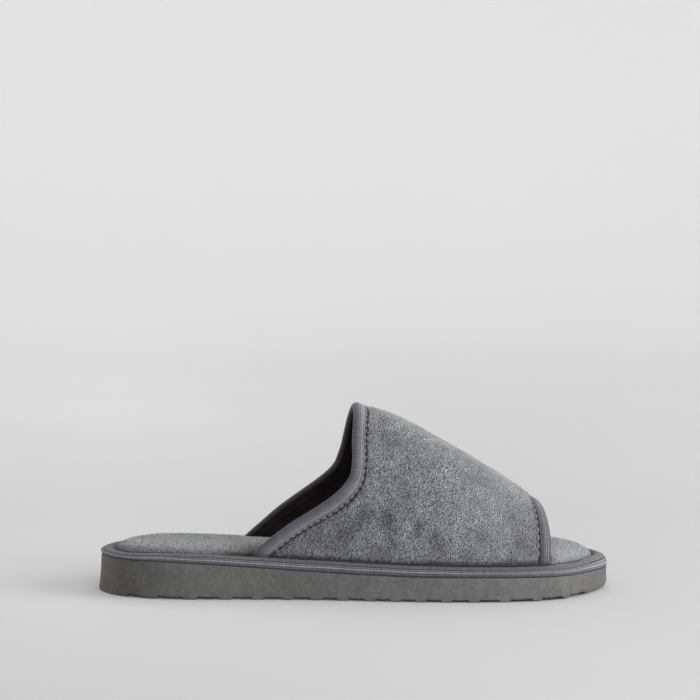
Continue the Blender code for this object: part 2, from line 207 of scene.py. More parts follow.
def along_line(values, run, at):
    return np.stack([np.interp(at, run, values[:, c]) for c in range(values.shape[1])], -1)


def sole_top(x):
    return smooth_table(SOLE_TOP, x)


def rim_top(x):
    return sole_top(x) + smooth_table(RIM_HEIGHT, x)


def periodic_spline(knots, values, period, at):
    """Cubic spline through the knots, closed after one period."""
    n = len(knots)
    step = np.diff(np.append(knots, knots[0] + period))
    before = np.roll(step, 1)
    system = np.diag(2 * (before + step))
    system += np.roll(np.diag(before), -1, 1) + np.roll(np.diag(step), 1, 1)
    rise = (np.roll(values, -1) - values) / step
    rhs = 6 * (rise - np.roll(rise, 1))
    bend = np.linalg.solve(system, rhs)
    at = np.mod(at - knots[0], period) + knots[0]
    i = np.clip(np.searchsorted(knots, at, side="right") - 1, 0, n - 1)
    j = (i + 1) % n
    h = step[i]
    right = at - knots[i]
    left = h - right
    return (
        (bend[i] * left**3 + bend[j] * right**3) / (6 * h)
        + (values[i] / h - bend[i] * h / 6) * left
        + (values[j] / h - bend[j] * h / 6) * right
    )


SMALL = 1e-3  # a small step along the outline, to measure its direction


def outline_at(t, inset=0.0):
    """Points of the sole's outline at t (0 to 2, counter-clockwise from the heel's back)."""
    along = [math.acos(1 - 2 * row[0] / LENGTH) / math.pi for row in OUTLINE]
    knots = np.array(along + [2 - a for a in along[-2:0:-1]])
    values = np.array([row[1] for row in OUTLINE] + [row[2] for row in OUTLINE[-2:0:-1]])

    def spot(t):
        x = LENGTH / 2 * (1 - np.cos(math.pi * t))
        return np.stack([x, periodic_spline(knots, values, 2.0, t)], -1)

    tangent = unit(spot(t + SMALL) - spot(t - SMALL))
    inward = np.stack([-tangent[..., 1], tangent[..., 0]], -1)
    return spot(t) + inward * np.broadcast_to(inset, t.shape)[..., None]


def round_the_sole(count):
    return np.arange(count) * 2 / count


FINE = 2400
FINE_OUTLINES = {}  # fine outlines already worked out, by their inset


def side_y(x, inset, outer):
    """The outline's y at x on one side, moved in by inset."""
    if inset not in FINE_OUTLINES:
        FINE_OUTLINES[inset] = outline_at(round_the_sole(FINE), inset)
    points = FINE_OUTLINES[inset]
    half = points[: FINE // 2 + 1] if outer else np.vstack([points[FINE // 2 :], points[:1]])[::-1]
    return np.interp(x, half[:, 0], half[:, 1])


def half_turn(angle):
    return np.clip(angle, 0, math.pi)


def arch(x, angle):
    """A point of the upper's outer face: angle 0 is the outer side's foot, pi the inner side's."""
    inset = RIM_WIDTH + GAP
    outer, inner = side_y(x, inset, True), side_y(x, inset, False)
    spring = rim_top(x)
    up = np.sin(half_turn(angle)) ** (2 / ARCH_POWER)
    c = np.cos(half_turn(angle))
    across = np.sign(c) * np.abs(c) ** (2 / ARCH_POWER)
    y = (outer + inner) / 2 - (inner - outer) / 2 * across + RIDGE_SHIFT * up
    return np.stack([x, y, spring + (smooth_table(RIDGE, x) - spring) * up], -1)


HALF_STEP, SMALL_TURN = 0.5, 0.01  # to measure the arch's directions


def arch_along(x, angle):
    """The arch's run over one millimetre of x."""
    return arch(x + HALF_STEP, angle) - arch(x - HALF_STEP, angle)


def either_side(angle):
    return half_turn(angle - SMALL_TURN), half_turn(angle + SMALL_TURN)


def arch_normal(x, angle):
    low, high = either_side(angle)
    return unit(np.cross(arch_along(x, angle), arch(x, high) - arch(x, low)))


def degrees_up(angle):
    """Degrees round the arch from the nearer side's foot: 90 is the ridge."""
    return 90 - np.abs(np.degrees(angle) - 90)


def line_x(line, z, angle):
    """An edge line's x at a height, passing over the ridge from the outer to the inner column."""
    outer, inner = smooth_table(line, z, 1), smooth_table(line, z, 2)
    return outer + (inner - outer) * (1 - np.cos(half_turn(angle))) / 2


EDGE_PASSES = 60
EDGE_START = 60.0  # the height that the search begins with


def edge_x(angle, line):
    """Where the upper's face meets an edge line that is given from the side."""
    x = line_x(line, EDGE_START, angle)
    for _ in range(EDGE_PASSES):
        x = x + 0.5 * (line_x(line, arch(x, angle)[..., 2], angle) - x)
    return x


def edge_step(angle, line):
    """How far along x one millimetre square to the edge is."""
    low, high = either_side(angle)
    run = unit(arch(edge_x(high, line), high) - arch(edge_x(low, line), low))
    along = arch_along(edge_x(angle, line), angle)
    step = 1 / (np.maximum(size(np.cross(run, unit(along))), 0.5) * size(along))
    for _ in range(len(step) // 8):
        step[1:-1] = (step[:-2] + 2 * step[1:-1] + step[2:]) / 4
    return step


def inwards(angles, line):
    """A function that gives x at a distance in from an edge of the upper."""
    edge, step = edge_x(angles, line), edge_step(angles, line)
    direction = 1 if line is COLLAR_LINE else -1
    return lambda distance: edge + direction * step * distance


def blobs(table, x, angle):
    """Sum of a table's soft spots, each on its own side of the vamp."""
    z = arch(x, angle)[..., 2]
    total = 0.0
    for side, fx, fz, length, width, lean, height in table:
        a = math.radians(lean)
        u = (x - fx) * math.cos(a) + (z - fz) * math.sin(a)
        v = (z - fz) * math.cos(a) - (x - fx) * math.sin(a)
        this_side = smooth_step(0.5 - side * np.cos(angle) * 1.5)
        total = total + height * this_side * np.exp(-((u / length) ** 2 + (v / width) ** 2))
    return total


def pile_tone(x, angle):
    """How light the pile is: painted shade low down behind and along the ridge, and its darker and lighter
    places.
    """
    low = 1 - ease(degrees_up(angle), 8, 53)
    back = 1 - ease(x, 140, 185)
    tone = PILE_TONE - LOW_BACK_SHADE * back * low - RIDGE_SHADE * ease(degrees_up(angle), 34, 76)
    return tone * (1 + blobs(SHADES, x, angle))


# Meshes

SHIFT = (-141.45, -0.688, 0.0)  # the shoe's own origin, in the frame


def place(points):
    """Shoe millimetres to the frame's metres."""
    return (np.reshape(points, (-1, 3)) + SHIFT) * MM


def lid(first, count):
    """Faces that close a ring of points, between those that lie opposite each other."""
    faces = [(0, 1, count - 1)]
    faces += [(i, i + 1, count - i - 1, count - i) for i in range(1, count // 2 - 1)]
    faces += [(count // 2 - 1, count // 2, count // 2 + 1)]
    return [tuple(first + i for i in f) for f in faces]


def grid_quads(rows, columns, wrap_rows=False, wrap_columns=False):
    """Quads between the points of a grid that is stored row by row."""
    r = np.arange(rows if wrap_rows else rows - 1)
    c = np.arange(columns if wrap_columns else columns - 1)
    r, c = [a.ravel() for a in np.meshgrid(r, c, indexing="ij")]
    r2, c2 = (r + 1) % rows, (c + 1) % columns
    return np.stack([r * columns + c, r * columns + c2, r2 * columns + c2, r2 * columns + c], -1)


def link(name, data):
    obj = bpy.data.objects.new(name, data)
    bpy.context.scene.collection.objects.link(obj)
    return obj


def add_mesh(name, points, quads, materials, sharp=None, faces=(), slots=None):
    """A piece that rides on the slipper. faces are further faces of any length."""
    corners = np.concatenate([quads.ravel(), *faces]).astype(np.int32)
    sizes = [4] * len(quads) + [len(f) for f in faces]
    starts = np.concatenate([[0], np.cumsum(sizes[:-1])]).astype(np.int32)
    mesh = bpy.data.meshes.new(name)
    spots = place(points)
    mesh.vertices.add(len(spots))
    mesh.vertices.foreach_set("co", spots.astype(np.float32).ravel())
    mesh.loops.add(len(corners))
    mesh.loops.foreach_set("vertex_index", corners)
    mesh.polygons.add(len(sizes))
    mesh.polygons.foreach_set("loop_start", starts)
    mesh.update(calc_edges=True)
    mesh.validate()
    mesh.shade_smooth()
    if sharp is not None:
        mesh.set_sharp_from_angle(angle=math.radians(sharp))
    for material in materials:
        mesh.materials.append(material)
    if slots is not None:
        mesh.polygons.foreach_set("material_index", np.asarray(slots, dtype=np.int32))
    obj = link(name, mesh)
    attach(obj, "root")
    return obj


def add_attribute(obj, name, values):
    """A number on each vertex, which the materials read."""
    layer = obj.data.attributes.new(name, "FLOAT", "POINT")
    layer.data.foreach_set("value", np.asarray(values, np.float32).ravel())


def add_bake_map(obj, u, v):
    """A flat map of the piece, from a place for each vertex."""
    uv = np.stack([np.ravel(u), np.ravel(v)], -1)
    uv = (uv - uv.min(0)) / (uv.max(0) - uv.min(0)) * 0.98 + 0.01
    corner = np.empty(len(obj.data.loops), np.int32)
    obj.data.loops.foreach_get("vertex_index", corner)
    layer = obj.data.uv_layers.new(name="OFBake")
    layer.uv.foreach_set("vector", uv[corner].astype(np.float32).ravel())


# Materials

PLAIN = (1.0, 1.0, 1.0)
MAUVE = (1.0, 0.97, 1.10)  # the tapes' tint
COOL = (0.98, 0.995, 1.03)  # the towelling's
WARM = (1.16, 0.98, 0.98)  # the lining's
DUSTY = (1.0, 0.99, 0.97)  # the foam's darker clouds


def grey(value, tint=PLAIN):
    return tuple(value * t for t in tint)


def new_material(name, roughness, sheen=0.0, sheen_roughness=0.5, specular=0.5):
    m = bpy.data.materials.new(name)
    m.use_nodes = True
    inputs = m.node_tree.nodes["Principled BSDF"].inputs
    inputs["Roughness"].default_value = roughness
    inputs["Sheen Weight"].default_value = sheen
    inputs["Sheen Roughness"].default_value = sheen_roughness
    inputs["Specular IOR Level"].default_value = specular
    return m


def feed(m, inputs, key, value):
    """Sets an input from a value, or from another node's output."""
    if isinstance(value, bpy.types.NodeSocket):
        m.node_tree.links.new(value, inputs[key])
    else:
        inputs[key].default_value = value


def node(m, kind, inputs, **settings):
    made = m.node_tree.nodes.new(kind)
    for key, value in settings.items():
        setattr(made, key, value)
    for key, value in inputs.items():
        feed(m, made.inputs, key, value)
    return made


def attribute(m, name):
    return node(m, "ShaderNodeAttribute", {}, attribute_name=name).outputs["Fac"]


def object_place(m):
    return node(m, "ShaderNodeTexCoord", {}).outputs["Object"]


def axis(m, name):
    return node(m, "ShaderNodeSeparateXYZ", {"Vector": object_place(m)}).outputs[name]


def calculate(m, operation, *values):
    return node(m, "ShaderNodeMath", dict(enumerate(values)), operation=operation).outputs[0]


def reach(m, value, start, stop, top=1.0):
    """0 at start rising evenly to top at stop."""
    settings = {"Value": value, "From Min": start, "From Max": stop, "To Max": top}
    return node(m, "ShaderNodeMapRange", settings).outputs["Result"]


def noise(m, scale_per_mm, detail=2.0, roughness=0.5, stretch=(1, 1, 1)):
    """Noise over the object's own coordinates: one cell is about 1 / scale_per_mm."""
    scale = [s * (scale_per_mm / MM) for s in stretch]
    mapped = node(m, "ShaderNodeMapping", {"Vector": object_place(m), "Scale": scale}).outputs["Vector"]
    inputs = {"Vector": mapped, "Scale": 1.0, "Detail": detail, "Roughness": roughness}
    return node(m, "ShaderNodeTexNoise", inputs).outputs["Fac"]


def stops(m, factor, table):
    """Colours through a table's rows of place and colour."""
    made = node(m, "ShaderNodeValToRGB", {"Fac": factor})
    elements = made.color_ramp.elements
    while len(elements) < len(table):
        elements.new(0.5)
    for element, (place_at, colour) in zip(elements, table):
        element.position = place_at
        element.color = (*colour, 1)
    return made.outputs["Color"]


def ramp(m, factor, first, last, tint=PLAIN, low=0.3, high=0.7):
    """Tinted greys from the first at low to the last at high."""
    return stops(m, factor, ((low, grey(first, tint)), (high, grey(last, tint))))


def times(m, colour, *factors):
    """A colour multiplied by further colours or numbers."""
    for factor in factors:
        inputs = {"Factor": 1.0, "A": colour, "B": factor}
        made = node(m, "ShaderNodeMix", inputs, data_type="RGBA", blend_type="MULTIPLY")
        colour = made.outputs["Result"]
    return colour


def bump(m, height, depth_mm, **under):
    inputs = {"Height": height, "Strength": 1.0, "Distance": depth_mm * MM, **under}
    return node(m, "ShaderNodeBump", inputs).outputs["Normal"]


def finish_material(m, colour, **more):
    for key, value in {"Base Color": colour, **more}.items():
        feed(m, m.node_tree.nodes["Principled BSDF"].inputs, key, value)
    return m


def pile_material(name, tone, mottle):
    """Looped yarn: each loop has its own tone with painted light and shade, and soft patches lie over
    them.
    """
    m = new_material(name, 1.0, sheen=0.25, sheen_roughness=0.6, specular=0.2)
    low, high = tone * (1 - mottle), tone * (1 + mottle)
    patches = ramp(m, noise(m, 0.09, 3.0, 0.6), low, high, COOL, 0.33, 0.67)
    return finish_material(m, times(m, patches, attribute(m, "shade")))


def backing_material(name, tone, scale, shaded=False):
    """Knitted ground between the loops, with painted shade where it has a shade attribute."""
    m = new_material(name, 1.0, specular=0.1)
    grain = noise(m, scale, 3.0, 0.7)
    colour = ramp(m, grain, tone * 0.6, tone * 1.25, COOL)
    if shaded:
        colour = times(m, colour, attribute(m, "shade"))
    return finish_material(m, colour, Normal=bump(m, grain, 0.5))


THREAD_PITCH = 0.8  # of the tapes' cross threads


def tape_material(name, tint):
    """Woven tape: ribs run along it in the mesh, and fine cross threads are bump. Its tone, with painted
    light and shade, is read from the mesh.
    """
    m = new_material(name, 0.62, sheen=0.15, sheen_roughness=0.4, specular=0.4)
    along = attribute(m, "along")
    threads = calculate(m, "SINE", calculate(m, "MULTIPLY", along, 2 * math.pi / THREAD_PITCH))
    ticks = node(m, "ShaderNodeTexNoise", {"W": along, "Scale": 1.0, "Detail": 2.0}, noise_dimensions="1D")
    ticks = ramp(m, ticks.outputs["Fac"], 0.84, 1.16)
    # the tones from the mesh, with their painted light and shade
    ribs = ramp(m, attribute(m, "rib"), 0.02, 0.36, tint, 0.0, 1.0)
    wear = ramp(m, noise(m, 0.25, 3.0, 0.6), 0.85, 1.12)
    fuzz = bump(m, noise(m, 3.0, 2.0, 0.7), 0.12)
    return finish_material(m, times(m, ribs, wear, ticks), Normal=bump(m, threads, 0.06, Normal=fuzz))


# The foam's colour along the sole, with painted light and shade: darker round the heel, lighter towards
# the toe
FOAM_TONES = (
    # share of length, colour
    (0.000, (0.130, 0.122, 0.097)),
    (0.017, (0.112, 0.106, 0.091)),
    (0.040, (0.083, 0.080, 0.070)),
    (0.060, (0.078, 0.076, 0.069)),
    (0.095, (0.090, 0.089, 0.085)),
    (0.140, (0.106, 0.105, 0.102)),
    (0.290, (0.113, 0.113, 0.112)),
    (0.340, (0.104, 0.103, 0.102)),
    (0.410, (0.109, 0.108, 0.107)),
    (0.460, (0.124, 0.124, 0.124)),
    (0.640, (0.129, 0.129, 0.128)),
    (0.780, (0.145, 0.144, 0.142)),
    (0.860, (0.131, 0.130, 0.128)),
    (0.940, (0.125, 0.124, 0.122)),
    (1.000, (0.113, 0.112, 0.110)),
)


def foam_material():
    """Moulded foam: clouds, specks and faint upright streaks on its skin, painted shade in the grooves,
    and painted light and shade along the sole.
    """
    m = new_material("moulded_foam", 0.6, specular=0.35)
    half = LENGTH / 2 * MM
    # painted light and shade along the sole, from the table
    base = stops(m, reach(m, axis(m, "X"), -half, half), FOAM_TONES)
    cloud = stops(m, noise(m, 0.12, 4.0, 0.6), ((0.3, grey(0.88, DUSTY)), (0.7, grey(1.12))))
    speckle = ramp(m, noise(m, 0.7, 3.0, 0.7), 0.77, 1.23)
    streak = ramp(m, noise(m, 0.35, 3.0, 0.7, (1.0, 1.0, 0.2)), 0.92, 1.08)
    # painted shade: the grooves darker with their depth
    painted_groove_shade = ramp(m, attribute(m, "groove"), 1.0, 0.12, low=0.1, high=0.9)
    grain = bump(m, noise(m, 1.2, 4.0, 0.75), 0.22)
    return finish_material(m, times(m, base, cloud, speckle, streak, painted_groove_shade), Normal=grain)


def lining_material():
    m = new_material("dark_lining", 0.9, specular=0.1)
    weave = noise(m, 1.2, 3.0, 0.6)
    patches = ramp(m, noise(m, 0.12, 3.0, 0.6), 0.7, 1.5, low=0.35, high=0.65)
    colour = ramp(m, weave, 0.007, 0.015, WARM)
    return finish_material(m, times(m, colour, patches), Normal=bump(m, weave, 0.2))


def thread_material(name, tone):
    m = new_material(name, 0.8, sheen=0.1, specular=0.3)
    twist = noise(m, 2.5, 2.0, 0.6)
    colour = ramp(m, twist, tone * 0.7, tone * 1.3, MAUVE)
    return finish_material(m, colour, Normal=bump(m, twist, 0.15))


FOAM = foam_material()
RIM_THREAD = thread_material("rim_thread", 0.13)
SEAM_THREAD = thread_material("seam_thread", 0.3)
TAPE_CLOTH = tape_material("ribbed_tape", MAUVE)
# a copy of the tape for its inside behind the fold, where its painted shade lies
TAPE_SHADED = tape_material("ribbed_tape_inside", WARM)
LINING = lining_material()
# the vamp's ground is painted dark, as shade between the loops
VAMP_GROUND = backing_material("vamp_ground", 0.065, 0.9)
VAMP_LOOPS = pile_material("vamp_loops", 0.405, 0.15)
INSOLE_GROUND = backing_material("insole_ground", 0.35, 0.9, shaded=True)
INSOLE_LOOPS = pile_material("insole_loops", 0.415, 0.06)


# Sole

def tread_bar_x(number):
    j = number - 0.25
    return TREAD_CENTRE + TREAD_PITCH * j + TREAD_SPREAD * j**3


TREAD_MARGIN, TREAD_STEP, TREAD_SOFTNESS = 20.0, 0.2, 9


def tread_profile():
    """The grooves' depth against x, with softened corners."""
    bars = [tread_bar_x(n) for n in range(TREAD_FIRST, TREAD_LAST + 1)]
    starts = [HEEL_PAD_END] + [x + TREAD_BAR / 2 for x in bars]
    ends = [x - TREAD_BAR / 2 for x in bars] + [TOE_PAD_START]
    xs, depths = [-TREAD_MARGIN], [0.0]
    for left, right in zip(starts, ends):
        fore = min(left / FORE_TREAD, 1.0)
        slope = TREAD_RAMP + (TREAD_TAPER - TREAD_RAMP) * fore
        xs += [left, left + TREAD_TAPER, (left + right) / 2, right - slope, right]
        far = TREAD_FIELD + (TREAD_DEPTH - TREAD_FIELD) * fore
        depths += [0.0, TREAD_DEPTH, TREAD_FIELD, far, 0.0]
    fine = np.arange(-TREAD_MARGIN, LENGTH + TREAD_MARGIN, TREAD_STEP)
    depth = np.interp(fine, xs + [LENGTH + TREAD_MARGIN], depths + [0.0])
    window = np.hanning(TREAD_SOFTNESS)
    return fine, np.convolve(depth, window / window.sum(), mode="same")


TREAD_X, TREAD_Z = tread_profile()
ZIGZAG_STEP = 16.0


def groove_z(x, y):
    """How deep the zigzag grooves are."""
    fold = np.abs(np.mod(y / ZIGZAG_STEP, 2.0) - 1.0)
    return np.interp(x - TREAD_WAVE * (1 - 2 * fold), TREAD_X, TREAD_Z)


# How the sole's side leans out and rounds off, from its foot up
SOLE_SIDE = (
    # share of height, share of flare, share of the toe's rounding
    (0, 1, 1), (0.08, 0.9, 0.36), (0.25, 0.6, 0), (0.6, 0.15, 0), (0.96, 0, 0), (1, -0.4, 0),
)
SOLE_LEVELS = (0.0, 0.02, 0.05, 0.09, 0.15, 0.25, 0.4, 0.6, 0.8, 0.93, 0.985, 1.0)
# The lowest levels' softened edge: inset for each millimetre of groove, and everywhere
SOLE_LIP = ((0.55, 0.35), (0.37, 0.12), (0.19, 0.0), (0.01, 0.0))
SOLE_HALF, SOLE_ACROSS = 560, 24  # points along one side and across the underside


def sole_wall(t):
    """Rings of the sole's side from its foot up, and the painted shade in their grooves."""
    x = outline_at(t)[:, 0]
    out = HEEL_FLARE + (TOE_FLARE - HEEL_FLARE) * np.clip(x / LENGTH, 0, 1) ** 0.5
    toe = np.clip((x - TOE_ROUNDING_START) / (LENGTH - TOE_ROUNDING_START), 0, 1) ** 2
    table = np.array(SOLE_SIDE)
    rings, painted_groove_shade = [], []
    for k, share in enumerate(SOLE_LEVELS):
        spread = np.interp(share, table[:, 0], table[:, 1])
        rounded = np.interp(share, table[:, 0], table[:, 2])
        inset = TOE_ROUNDING * rounded * toe - out * spread
        ring = outline_at(t, inset)
        groove = groove_z(ring[:, 0], ring[:, 1])
        low = smooth_table(SOLE_FOOT, ring[:, 0]) + groove
        if k < len(SOLE_LIP):
            with_groove, always = SOLE_LIP[k]
            ring = outline_at(t, inset + with_groove * groove + always)
        top = sole_top(ring[:, 0])
        rings.append(np.column_stack([ring, low + (top - low) * share]))
        # painted shade by groove depth, on the two lowest rings
        painted_groove_shade.append(groove / TREAD_FIELD if k < 2 else np.zeros(len(t)))
    return rings, painted_groove_shade


def sole():
    half, across = SOLE_HALF, SOLE_ACROSS
    count = 2 * half
    rings, painted_groove_shade = sole_wall(round_the_sole(count))
    side = grid_quads(len(rings), count, wrap_columns=True)[:, ::-1]
    rung = np.arange(1, half)
    a, b = rings[0][rung], rings[0][count - rung]
    share = np.arange(1, across) / across
    inner = a[:, None, :2] + (b - a)[:, None, :2] * share[None, :, None]
    groove = groove_z(inner[..., 0], inner[..., 1])
    inner_z = smooth_table(SOLE_FOOT, inner[..., 0]) + groove
    inner = np.concatenate([inner, inner_z[..., None]], -1).reshape(-1, 3)
    index = len(rings) * count + np.arange(len(inner)).reshape(len(rung), across - 1)
    index = np.column_stack([rung, index, count - rung])
    bottom = index.ravel()[grid_quads(*index.shape)]
    ends = [(index[0, j + 1], index[0, j], 0) for j in range(across)]
    ends += [(index[-1, j], index[-1, j + 1], half) for j in range(across)]
    faces = ends + [f[::-1] for f in lid((len(rings) - 1) * count, count)]
    quads = np.concatenate([side, bottom[:, ::-1]])
    obj = add_mesh("sole", np.concatenate(rings + [inner]), quads, [FOAM], sharp=50.0, faces=faces)
    # the groove depths, which the foam's painted groove shade reads
    add_attribute(obj, "groove", np.concatenate(painted_groove_shade + [(groove / TREAD_FIELD).ravel()]))
    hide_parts("outsole")


# Rim of the footbed

RIM_SECTION = (
    # inset, share of height, brightness (painted light and shade across the rim, darkest next to the
    # upper), strength of the ribs
    (0.8, 0, 0.17, 0), (0.15, 0.06, 0.18, 0.2), (-0.12, 0.17, 0.19, 0.4), (-0.2, 0.34, 0.28, 0.6),
    (0.1, 0.48, 0.33, 0.8), (0.6, 0.58, 0.33, 0.8), (1.3, 0.67, 0.26, 0.9), (2.4, 0.74, 0.3, 1),
    (3.6, 0.78, 0.3, 1), (4.9, 0.82, 0.28, 1), (6, 0.83, 0.18, 0.6), (7, 0.8, 0.03, 0.1),
    (8, 0.66, 0, 0),
)
RIM_NOMINAL = 6.0  # the height that the section's curve is drawn for
RIM_LIFT = 0.15  # the hem's clearance over the sole
RIM_COLUMNS, RIM_STEP = 760, 0.25
RIM_BACK = (0.4, 0.0)  # shares of the height down the hidden back
CREST_AT, CREST_WIDTH = 3.0, 0.4  # the proud rib at the rim's belly, along the section
FURROW_AT, FURROW_WIDTH = 5.0, 0.35
CREST_RISE, FURROW_DEPTH = 0.14, 0.2
TIP_START, TIP_RISE = 258.0, 1.7  # the rim's fuller top round the toe
RIB_PITCH, RIB_RISE = 1.3, 0.22  # of all the tapes


def along_curve(rows, step):
    """Points every step along a smooth curve through the rows, and their distance along it."""
    rows = np.array(rows, float)
    chord = distance_along(rows)
    fine = np.linspace(0, chord[-1], 400)
    columns = [smooth_table(list(zip(chord, rows[:, c])), fine) for c in range(rows.shape[1])]
    curve = np.stack(columns, -1)
    run = distance_along(curve)
    at = np.linspace(0, run[-1], max(int(run[-1] / step), 2) + 1)
    return along_line(curve, run, at), at


def rib_wave(at):
    """0 to 1: round ribs with furrows between."""
    return np.sin(math.pi * at / RIB_PITCH) ** 2


def bell(x, middle, width):
    return np.exp(-(((x - middle) / width) ** 2))


def rim():
    section, run = along_curve([(i, s * RIM_NOMINAL, b, r) for i, s, b, r in RIM_SECTION], RIM_STEP)
    wave = rib_wave(run - CREST_AT + RIB_PITCH / 2)
    crest = bell(run, CREST_AT, CREST_WIDTH)
    furrow = bell(run, FURROW_AT, FURROW_WIDTH)
    tangent = np.gradient(section[:, :2], axis=0)
    out = unit(np.stack([-tangent[:, 1], tangent[:, 0]], -1))
    t = round_the_sole(RIM_COLUMNS)
    x, y = outline_at(t).T
    low = sole_top(x) + RIM_LIFT
    height = smooth_table(RIM_HEIGHT, x) - RIM_LIFT
    sway = 0.7 * np.sin(x * 0.045 + 0.6) + 0.3 * np.sin(x * 0.21 + 1.0)
    tip = TIP_RISE * ease(x, TIP_START, LENGTH)
    beads = 1 + 0.2 * np.sin(2 * math.pi * np.arange(RIM_COLUMNS) / 4)
    # painted light: the rim lighter towards the toe and round the heel
    glow = 1 + 0.3 * ease(x, 235, 270) + 0.2 * ease(x, 264, 278) + 0.15 * ease(x, 60, 20)
    even = 1 - 0.4 * ease(x, 185, 215) + 0.35 * ease(x, 262, 276)
    # painted shade on the rim's inner top beside the collar's foot
    beside = (y < 0) * ease(x, 66, 74) * ease(x, 104, 90)
    rings, tones = [], []
    for (inset, level, tone, strength), (oi, oz), w, c, f in zip(section, out, wave, crest, furrow):
        push = RIB_RISE * w * strength + CREST_RISE * c - FURROW_DEPTH * f
        share = level / RIM_NOMINAL
        z = low + height * share + oz * push + sway * share * (1 - share)
        z = z + tip * ease(share, 0.4, 0.8)
        rings.append(np.column_stack([outline_at(t, inset + oi * push), z]))
        # painted highlight on the ribs' crests and the proud rib, painted shade in the furrow
        ribs = even * (strength * (0.5 * w - 0.25) + 0.33 * c * beads - 0.26 * f)
        shaded = 1 - 0.6 * beside * ease(inset, 3.5, 5.5)
        # painted light on the rim's inner top round the toe
        lit = 0.07 * ease(x, 254, 262) * ease(inset, 5.5, 7.0)
        tones.append(glow * shaded * (tone + ribs) + lit)
    for share in RIM_BACK:
        rings.append(np.column_stack([outline_at(t, RIM_WIDTH), low + height * share]))
        tones.append(np.zeros(RIM_COLUMNS))
    quads = grid_quads(len(rings), RIM_COLUMNS, True, True)[:, ::-1]
    obj = add_mesh("rim_tape", np.concatenate(rings), quads, [TAPE_CLOTH])
    add_attribute(obj, "along", np.tile(distance_along(outline_at(t)), len(rings)))
    # the rim's tone with its painted light and shade, for the tape material
    add_attribute(obj, "rib", np.concatenate(tones))
    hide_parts("footbed_binding")


# Footbed

INSOLE_LOOP_LIMIT = 14500
INSOLE_DEPTH = 0.6  # the ground lies this far under the loops' tops
INSOLE_COLUMNS = 420


def slot_share(x, z):
    """1 where the upper's wall stands beside the footbed at height z, 0 past its ends."""
    back = smooth_table(COLLAR_LINE, z) - SLOT_SPARE
    front = smooth_table(TOE_LINE, z) + SLOT_SPARE
    rise = np.clip((x - back) / SLOT_RAMP + 1, 0, 1)
    fall = np.clip((front - x) / SLOT_RAMP + 1, 0, 1)
    return np.minimum(rise, fall)


def footbed_point(t, share, bottom=False, drop=0.0):
    """A point of the footbed at t round its edge and a share of the way in."""
    clear = RIM_WIDTH + GAP
    base_x = outline_at(t, clear)[..., 0]
    edge_top = rim_top(base_x)
    level = sole_top(base_x) + GAP if bottom else edge_top - RIM_OVER_FOOTBED - drop
    edge = outline_at(t, clear + (WALL + GAP) * slot_share(base_x, level))
    spine_x = np.clip(edge[..., 0], HEEL_CENTRE, TOE_CENTRE)
    middle = (side_y(spine_x, 0.0, True) + side_y(spine_x, 0.0, False)) / 2
    p = edge + (np.stack([spine_x, middle], -1) - edge) * np.asarray(share)[..., None]
    into = size(p - edge) / smooth_table(SHOULDER, p[..., 0])
    rise = 1 - (1 - np.clip(into, 0, 1)) ** FOOTBED_ROUNDNESS
    slope = rim_top(p[..., 0]) - edge_top
    z = level + slope + (smooth_table(CROWN, p[..., 0]) - INSOLE_DEPTH) * rise
    return np.concatenate([p, z[..., None]], -1)


def beside_collar(points, edge_gap):
    """How light the footbed still is beside the collar's foot, where the upper shades it."""
    x = points[:, 0]
    near = (points[:, 1] < 0) * ease(x, 118, 98)
    wide = 0.5 * near * ease(x, 64, 82)
    edge = 0.7 * near * ease(x, 61, 70)
    return (1 - wide * bell(edge_gap, 0, 18.0)) * (1 - edge * bell(edge_gap, 0, 2.2))


def footbed():
    t = round_the_sole(INSOLE_COLUMNS)
    zero = np.zeros(INSOLE_COLUMNS)
    rings = [footbed_point(t, zero, bottom=True)]
    rings += [footbed_point(t, zero, drop=d) for d in (FOOTBED_EDGE, 0.5)]
    for share in np.concatenate([[0.012, 0.03], np.linspace(0.06, 0.97, 24)]):
        rings.append(footbed_point(t, zero + share))
    faces = [f[::-1] for f in lid(0, INSOLE_COLUMNS)]
    faces += lid((len(rings) - 1) * INSOLE_COLUMNS, INSOLE_COLUMNS)
    quads = grid_quads(len(rings), INSOLE_COLUMNS, wrap_columns=True)
    obj = add_mesh("insole", np.concatenate(rings), quads, [INSOLE_GROUND], faces=faces)
    edge = footbed_point(t, zero)
    add_attribute(obj, "shade", [beside_collar(ring, size((ring - edge)[:, :2])) for ring in rings])
    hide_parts("footbed")


# Loops of yarn

LOOP_SIDES, LOOP_STEPS = 3, 3
FOOT_SINK = 0.2  # share of a loop's height that its feet go under the ground
TOP_SHADE = 1.2  # painted light: how much lighter than its own shade a loop's top is
MAP_STEP = 0.15  # between a loop's own points on the flat map


def tubes(name, spine, side, up, radius, sides, first, material):
    """Many short lines of thread as one mesh: a ring of points round each step of each line."""
    rings = []
    for k in range(sides):
        a = 2 * math.pi * k / sides + first
        rings.append(spine + (side * math.cos(a) + up * math.sin(a)) * radius)
    count, steps = spine.shape[:2]
    starts = np.arange(count)[:, None, None] * steps * sides
    quads = (starts + grid_quads(steps, sides, wrap_columns=True)).reshape(-1, 4)
    return add_mesh(name, np.stack(rings, 2), quads, [material])


